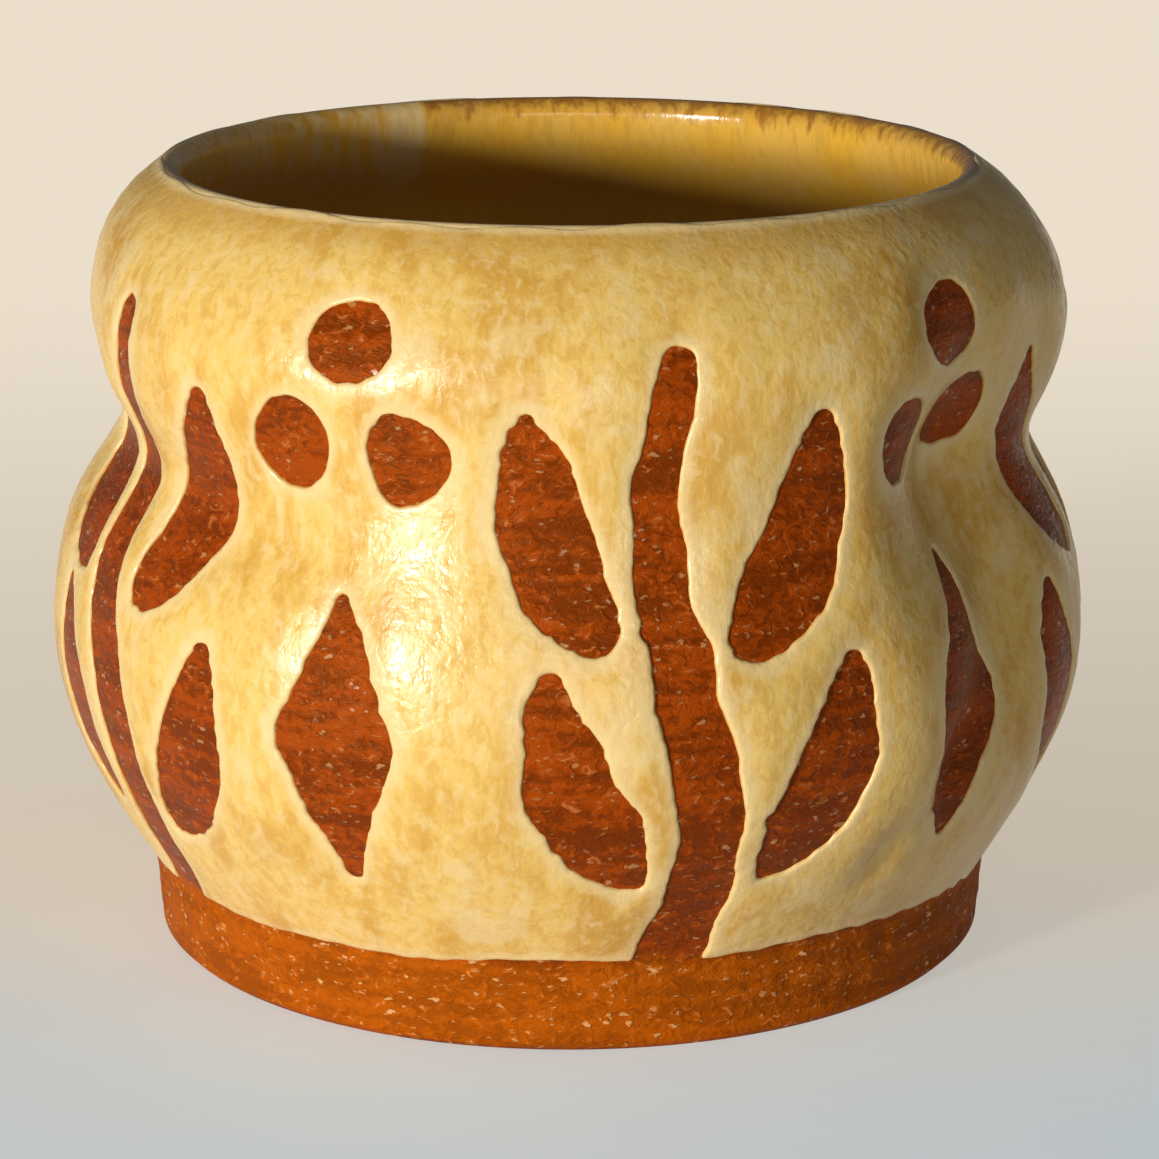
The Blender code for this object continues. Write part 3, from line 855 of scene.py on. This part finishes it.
class CUP_OT_clay_body(bpy.types.Operator):
    """Turns the clay body, pressed in at the waist, with a trimmed foot ring"""

    bl_idname = "cup.add_clay_body"
    bl_label = "Clay body"

    def execute(self, context):
        inside = np.arange(ALONG[0], 0, INSIDE_ROW)
        corners = OUTSIDE_ALONG[STEPS_TO_FOOT:]
        outside = np.arange(0, corners[0], OUTSIDE_ROW)
        foot = [
            np.linspace(a, b, max(2, 1 + round((b - a) / OUTSIDE_ROW)))[:-1]
            for a, b in zip(corners[:-1], corners[1:])
        ]
        rows = np.concatenate([inside, outside, *foot, corners[-1:]])
        turn, along = turned_grid(CLAY_COLUMNS, rows)
        height = clay_at(turn, along)[..., 2]
        outer = np.clip(along / RIDGES_FADE_IN, 0, 1) * np.clip((corners[1] - along) / RIDGES_FADE_OUT, 0, 1)
        bare_foot = outer * np.clip((FOOT_HEIGHT + FOOT_FADE - height) / FOOT_FADE, 0, 1)
        ridges = outer * THROWING_RIDGE * throwing(turn, height)
        rough = bare_foot * FOOT_ROUGHNESS * (1 + rough_foot(turn, along))
        hidden = UNDER_LIP * ramp(along, -LIP_TAPER, 0) * ramp(along, LIP_TAPER, 0.5 * LIP_TAPER)
        points = surface(turn, along, ridges - rough + slip_at(context.scene.cup_coats, along) - hidden)
        mesh = mesh_of("clay_body_turned", points.reshape(-1, 3), ring_faces(len(rows), CLAY_COLUMNS))
        weld(mesh)
        finish = make_red_clay(context.scene.cup_colours)
        add_piece("clay_body_turned", mesh, "clay_body", finish)
        return {"FINISHED"}


LINER_COLUMNS = 260
LINER_ROW = 0.0009
LIP_ROW = 0.00012

# Where the cream coat was wiped over the lip and down the inside, in degrees round the cup
SPILL_FROM = -157
SPILL_TO = -70
SPILL_EDGE = 2
SPILL_FADE = 25
SPILL_THINS = (5, 11)
SPILL_THINNING = 0.45


def spill(turn):
    """How much of the cream wiped over the lip covers the liner at each turn."""
    angle = np.degrees(shortest(turn))
    start, end = SPILL_THINS
    thinning = 1 - SPILL_THINNING * ramp(angle, SPILL_FROM + start, SPILL_FROM + end)
    begun = ramp(angle, SPILL_FROM, SPILL_FROM + SPILL_EDGE)
    return thinning * begun * ramp(angle, SPILL_TO, SPILL_TO - SPILL_FADE)


def closed_sheet(outer, inner, faces):
    """A shell from the two sides of a sheet with the same faces, with walls along its free edges."""
    count = len(outer)
    edges = {}
    for face in faces:
        for a, b in zip(face, face[1:] + face[:1]):
            if (b, a) in edges:
                del edges[(b, a)]
            else:
                edges[(a, b)] = True
    walls = [(b, a, a + count, b + count) for a, b in edges]
    back = [tuple(i + count for i in reversed(face)) for face in faces]
    return np.vstack([outer, inner]), faces + back + walls


class CUP_OT_inner_glaze(bpy.types.Operator):
    """Pours the amber liner over the inside and up to the lip's crest"""

    bl_idname = "cup.add_inner_glaze"
    bl_label = "Inner glaze"

    def execute(self, context):
        coats = context.scene.cup_coats
        rows = np.concatenate([
            np.arange(ALONG[0], -LIP_TAPER, LINER_ROW),
            np.arange(-LIP_TAPER, LINER_ENDS + LIP_ROW, LIP_ROW),
        ])
        turn, along = turned_grid(LINER_COLUMNS, rows)
        outer = surface(turn, along, liner_top(coats, along)).reshape(-1, 3)
        inner = surface(turn, along, np.full(turn.shape, -2 * SUNK)).reshape(-1, 3)
        faces = [tuple(face) for face in ring_faces(len(rows), LINER_COLUMNS).tolist()]
        points, faces = closed_sheet(outer, inner, faces)
        mesh = mesh_of("amber_liner", points, faces)
        carry(mesh, from_lip=np.tile(np.abs(along).ravel(), 2), spill=np.tile(spill(turn).ravel(), 2))
        weld(mesh)
        finish = make_amber_glaze(context.scene.cup_colours)
        add_piece("amber_liner", mesh, "inner_glaze", finish)
        return {"FINISHED"}


# How a triangle is divided when some of its sides are split. Its corners are 0, 1 and 2, and the new ones
# are 3 on side 01, 4 on side 12 and 5 on side 20. A split side 01 adds 1 to the row's number, 12 adds 2
# and 20 adds 4.
DIVISIONS = (
    ((0, 1, 2),),
    ((0, 3, 2), (3, 1, 2)),
    ((0, 1, 4), (0, 4, 2)),
    ((3, 1, 4), (0, 3, 4), (0, 4, 2)),
    ((0, 1, 5), (5, 1, 2)),
    ((0, 3, 5), (3, 1, 2), (3, 2, 5)),
    ((4, 2, 5), (0, 1, 4), (0, 4, 5)),
    ((0, 3, 5), (3, 1, 4), (5, 4, 2), (3, 4, 5)),
)
INSIDE_REACH = 0.0015
BELOW_FOOT_TOP = 0.0024
SPLIT_WITHIN = (0.0011, 0.0003)
CREST_REACH = 0.0006
SNAPPED = 0.3
SNAP_ROUNDS = 2
SLOPE_STEP = 0.00003
LEAST_SLOPE_SQUARED = 0.3
ON_EDGE = 0.000002
ON_LEVEL = 0.000012
ROUNDED_AT = (0.00007, 0.00020)


class Sheet:
    """Triangles on the wall. Each corner is a place and its gap: how far inside the coat's edges it lies."""

    def __init__(self, cell):
        columns = round(math.tau * GIRTH_RADIUS / cell)
        rows = np.arange(-INSIDE_REACH, FOOT_TOP_ALONG + BELOW_FOOT_TOP, cell)
        turn, along = np.meshgrid(np.linspace(-math.pi, math.pi, columns, endpoint=False), rows)
        quads = ring_faces(len(rows), columns)
        self.cell = cell
        self.turn = turn.ravel()
        self.along = along.ravel()
        self.gap = from_edge(self.turn, self.along)
        self.faces = np.vstack([quads[:, (0, 1, 2)], quads[:, (0, 2, 3)]])

    def sides(self):
        """The ends of each edge, and the numbers of each face's three edges."""
        ends = np.sort(np.stack([self.faces, np.roll(self.faces, -1, axis=1)], axis=-1), axis=-1)
        codes, numbers = np.unique(ends[..., 0] * len(self.turn) + ends[..., 1], return_inverse=True)
        return np.stack(np.divmod(codes, len(self.turn)), axis=-1), numbers.reshape(-1, 3)

    def between(self, ends, share):
        start, end = ends.T
        turn = self.turn[start] + share * shortest(self.turn[end] - self.turn[start])
        return shortest(turn), self.along[start] + share * (self.along[end] - self.along[start])

    def split(self, edges, numbers, chosen, turn, along, gap):
        """Puts a new corner on each chosen edge, and divides the faces beside it."""
        fresh = np.zeros(len(edges), int)
        fresh[chosen] = len(self.turn) + np.arange(len(turn))
        corners = np.hstack([self.faces, fresh[numbers]])
        pattern = chosen[numbers] @ (1, 2, 4)
        self.faces = np.vstack([
            corners[pattern == number][:, part] for number, parts in enumerate(DIVISIONS) for part in parts
        ])
        self.turn = np.append(self.turn, turn)
        self.along = np.append(self.along, along)
        self.gap = np.append(self.gap, gap)

    def refine(self, within):
        """Halves the faces this near to the coat's edges, and those on the lip's sharp crest."""
        edges, numbers = self.sides()
        chosen = np.zeros(len(edges), bool)
        near_edge = np.abs(self.gap[self.faces]).min(axis=1) < within
        on_crest = np.abs(self.along[self.faces]).min(axis=1) < CREST_REACH
        chosen[numbers[near_edge | on_crest]] = True
        turn, along = self.between(edges[chosen], 0.5)
        self.split(edges, numbers, chosen, turn, along, from_edge(turn, along))
        self.cell *= 0.5

    def snap(self):
        """Moves the corners nearest to the coat's edges onto them, which leaves no thin slivers there."""
        step = SLOPE_STEP
        near = np.flatnonzero(np.abs(self.gap) < SNAPPED * self.cell)
        round_step = step / np.interp(self.along[near], ALONG, CLAY_LINE[:, 0])
        for _ in range(SNAP_ROUNDS):
            turn, along, gap = self.turn[near], self.along[near], self.gap[near]
            ahead, behind = from_edge(turn + round_step, along), from_edge(turn - round_step, along)
            sideways = (ahead - behind) / (2 * step)
            downwards = (from_edge(turn, along + step) - from_edge(turn, along - step)) / (2 * step)
            move = gap / np.maximum(sideways**2 + downwards**2, LEAST_SLOPE_SQUARED)
            self.turn[near] = shortest(turn - move * sideways * round_step / step)
            self.along[near] = along - move * downwards
            self.gap[near] = from_edge(self.turn[near], self.along[near])

    def cut(self, level, touching):
        """Divides the faces along the line this far inside the coat's edges."""
        offset = self.gap - level
        offset[np.abs(offset) < touching] = 0
        edges, numbers = self.sides()
        chosen = offset[edges[:, 0]] * offset[edges[:, 1]] < 0
        ends = edges[chosen]
        start, end = offset[ends].T
        share = start / (start - end)
        found = from_edge(*self.between(ends, share)) - level
        later = share + (1 - share) * found / (found - end)
        earlier = share * start / (start - found)
        share = np.where(found * start > 0, later, earlier)
        self.split(edges, numbers, chosen, *self.between(ends, share), np.full(len(ends), level))

    def keep_inside(self):
        """Drops the faces outside the coat's edges."""
        gap = self.gap[self.faces]
        self.faces = self.faces[(gap.min(axis=1) > -ON_EDGE) & (gap.max(axis=1) > ON_EDGE)]

    def rim(self):
        """The corners on the free edges."""
        edges, numbers = self.sides()
        return np.unique(edges[np.bincount(numbers.ravel(), minlength=len(edges)) == 1])


COAT_SWELL = 0.00003
COAT_RUNS = 0.6
EDGE_SUNK = 0.00003
SHARP_ANGLE = 75
coat_swell = waves(seed=41, turns=9, rise=0.014)
coat_runs = waves(seed=42, turns=46, rise=0.020)


def cream_top(coats, turn, along):
    """How far the outer coat's face is from the clay's outline. Its edges round off onto what they lie on."""
    grown = ramp(from_marks(turn, along), 0, coats.swelling)
    thickness = coats.edge_thickness + (coats.cream_thickness - coats.edge_thickness) * grown
    thickness = thickness + COAT_SWELL * (coat_swell(turn, along) + COAT_RUNS * coat_runs(turn, along) - 1)
    thickness = coats.lip_thickness + (thickness - coats.lip_thickness) * ramp(along, 0, LIP_TAPER)
    below = np.maximum(slip_at(coats, along), liner_top(coats, along) * (along < LINER_ENDS)) - EDGE_SUNK
    share = np.clip(from_edge(turn, along) / coats.rounding, 0, 1)
    return below + thickness * np.sqrt(1 - (1 - share) ** 2)


class CUP_OT_outer_glaze(bpy.types.Operator):
    """Dips the outside in the cream coat, which rounds off along the bare marks"""

    bl_idname = "cup.add_outer_glaze"
    bl_label = "Outer glaze"

    def execute(self, context):
        coats = context.scene.cup_coats
        sheet = Sheet(coats.cell)
        for within in SPLIT_WITHIN:
            sheet.refine(within)
        sheet.snap()
        sheet.cut(0, ON_EDGE)
        sheet.keep_inside()
        back_faces = sheet.faces[:, ::-1]
        rim = sheet.rim()
        back_turn, back_along = sheet.turn.copy(), sheet.along.copy()
        for level in ROUNDED_AT:
            sheet.cut(level, ON_LEVEL)

        face = surface(sheet.turn, sheet.along, cream_top(coats, sheet.turn, sheet.along))
        back = surface(back_turn, back_along, np.full(back_turn.shape, -2 * SUNK))
        behind = len(face) + np.arange(len(back))
        behind[rim] = rim
        faces = np.vstack([sheet.faces, behind[back_faces]])
        used, faces = np.unique(faces, return_inverse=True)
        turn = np.append(sheet.turn, back_turn)[used]
        along = np.append(sheet.along, back_along)[used]
        coat = mesh_of("cream_coat", np.vstack([face, back])[used], faces.reshape(-1, 3).tolist())
        carry(coat, from_edge=np.minimum(from_marks(turn, along), FAR), from_lip=np.abs(along))
        finish = make_cream_glaze(context.scene.cup_colours)
        add_piece("cream_coat", coat, "outer_glaze", finish)
        coat.set_sharp_from_angle(angle=math.radians(SHARP_ANGLE))
        return {"FINISHED"}


# The photo's camera, fitted to the ellipses of rim and foot. It looks down by this many degrees.
CAMERA_PLACE = (0.0007, -0.2650, 0.0963)
CAMERA_DOWN = 15.30
PHOTO_PIXELS = 1159
FOCAL_PIXELS = 3911
SENSOR_MM = 36.0

FLOOR_HALF = 1.5
FLOOR_WARMS = (-0.045, 0.015)
GLOW_GROWS = (-0.02, 0.25)
LAMPS_AIM = (0, 0, 0.025)
FILL_COLOUR = (0.93, 0.96, 1.0, 1)


def make_floor(stage):
    """Pale and matt, grey under the cup and warmer further back, where it also keeps more of its own look."""
    floor = Finish("pale_floor")
    depth = floor.along("Y")
    cloud = floor.noise(0.05, 3)
    tone = floor.blend(floor.spread(cloud, 0.3, 0.7, 0.0, 0.12), stage.floor, stage.far_floor)
    shade = floor.blend(floor.spread(depth, *FLOOR_WARMS), tone, stage.far_floor)
    floor.feed(floor.shader, {"Base Color": shade, "Roughness": floor.spread(cloud, 0.3, 0.7, 0.75, 0.85)})
    glow = floor.add("ShaderNodeEmission", {"Color": shade})
    ray = floor.add("ShaderNodeLightPath").outputs
    seen = floor.sum_up("MAXIMUM", ray["Is Camera Ray"], ray["Is Glossy Ray"])
    seen = floor.sum_up("MAXIMUM", seen, ray["Is Transmission Ray"])
    own = floor.times(seen, floor.spread(depth, *GLOW_GROWS, stage.near_glow, stage.far_glow))
    mixed = floor.add("ShaderNodeMixShader", {0: own, 1: floor.shader.outputs[0], 2: glow.outputs[0]})
    floor.feed(floor.tree.nodes["Material Output"], {"Surface": mixed.outputs[0]})
    return floor.material


class CUP_OT_stage(bpy.types.Operator):
    """Lays the pale floor and places the lamps and the camera"""

    bl_idname = "cup.add_stage"
    bl_label = "Stage"

    def execute(self, context):
        stage = context.scene.cup_stage
        corners = [(x * FLOOR_HALF, y * FLOOR_HALF, 0) for x, y in ((-1, -1), (1, -1), (1, 1), (-1, 1))]
        mesh = mesh_of("floor", corners, [(0, 1, 2, 3)])
        floor = bpy.data.objects.new("floor", mesh)
        mesh.materials.append(make_floor(stage))
        context.scene.collection.objects.link(floor)

        for name, power, colour, place, width, height in (
            ("key", stage.key, (1.0, 0.95, 0.87), (-0.53, -0.61, 0.122), 0.10, 0.10),
            ("front", stage.front, (1.0, 0.94, 0.86), (0.0, -0.66, 0.075), 0.42, 0.11),
        ):
            light = bpy.data.lights.new(name, "AREA")
            light.shape = "ELLIPSE"
            light.size = width
            light.size_y = height
            light.energy = power
            light.color = colour
            lamp = bpy.data.objects.new(name, light)
            lamp.location = place
            lamp.rotation_euler = (Vector(LAMPS_AIM) - lamp.location).to_track_quat("-Z", "Y").to_euler()
            context.scene.collection.objects.link(lamp)

        world = bpy.data.worlds.new("soft_light")
        world.use_nodes = True
        background = world.node_tree.nodes["Background"]
        background.inputs["Color"].default_value = FILL_COLOUR
        background.inputs["Strength"].default_value = stage.fill
        context.scene.world = world

        lens = bpy.data.cameras.new("camera")
        lens.sensor_width = SENSOR_MM
        lens.lens = SENSOR_MM * FOCAL_PIXELS / PHOTO_PIXELS
        lens.clip_start = 0.01
        camera = bpy.data.objects.new("camera", lens)
        camera.location = CAMERA_PLACE
        camera.rotation_euler = (math.radians(90 - CAMERA_DOWN), 0, 0)
        context.scene.collection.objects.link(camera)
        context.scene.camera = camera
        context.scene.view_settings.view_transform = "Standard"
        return {"FINISHED"}


class CUP_PT_panel(bpy.types.Panel):
    """Everything that dresses the cup"""

    bl_idname = "CUP_PT_panel"
    bl_label = "Espresso cup"
    bl_space_type = "VIEW_3D"
    bl_region_type = "UI"
    bl_category = "Cup"

    def draw(self, context):
        for group in GROUPS:
            values = getattr(context.scene, group)
            box = self.layout.box()
            for name in values.__annotations__:
                box.prop(values, name)
        for operator in OPERATORS:
            self.layout.operator(operator.bl_idname)


GROUPS = {"cup_coats": CupCoats, "cup_colours": CupColours, "cup_stage": CupStage}
OPERATORS = (CUP_OT_clay_body, CUP_OT_inner_glaze, CUP_OT_outer_glaze, CUP_OT_stage)
CLASSES = (*GROUPS.values(), *OPERATORS, CUP_PT_panel)


def register():
    for kind in CLASSES:
        bpy.utils.register_class(kind)
    for name, kind in GROUPS.items():
        setattr(bpy.types.Scene, name, bpy.props.PointerProperty(type=kind))


def unregister():
    for name in GROUPS:
        delattr(bpy.types.Scene, name)
    for kind in reversed(CLASSES):
        bpy.utils.unregister_class(kind)


def main():
    register()
    bpy.ops.cup.add_clay_body()
    bpy.ops.cup.add_inner_glaze()
    bpy.ops.cup.add_outer_glaze()
    bpy.ops.cup.add_stage()


if __name__ == "__main__":
    main()
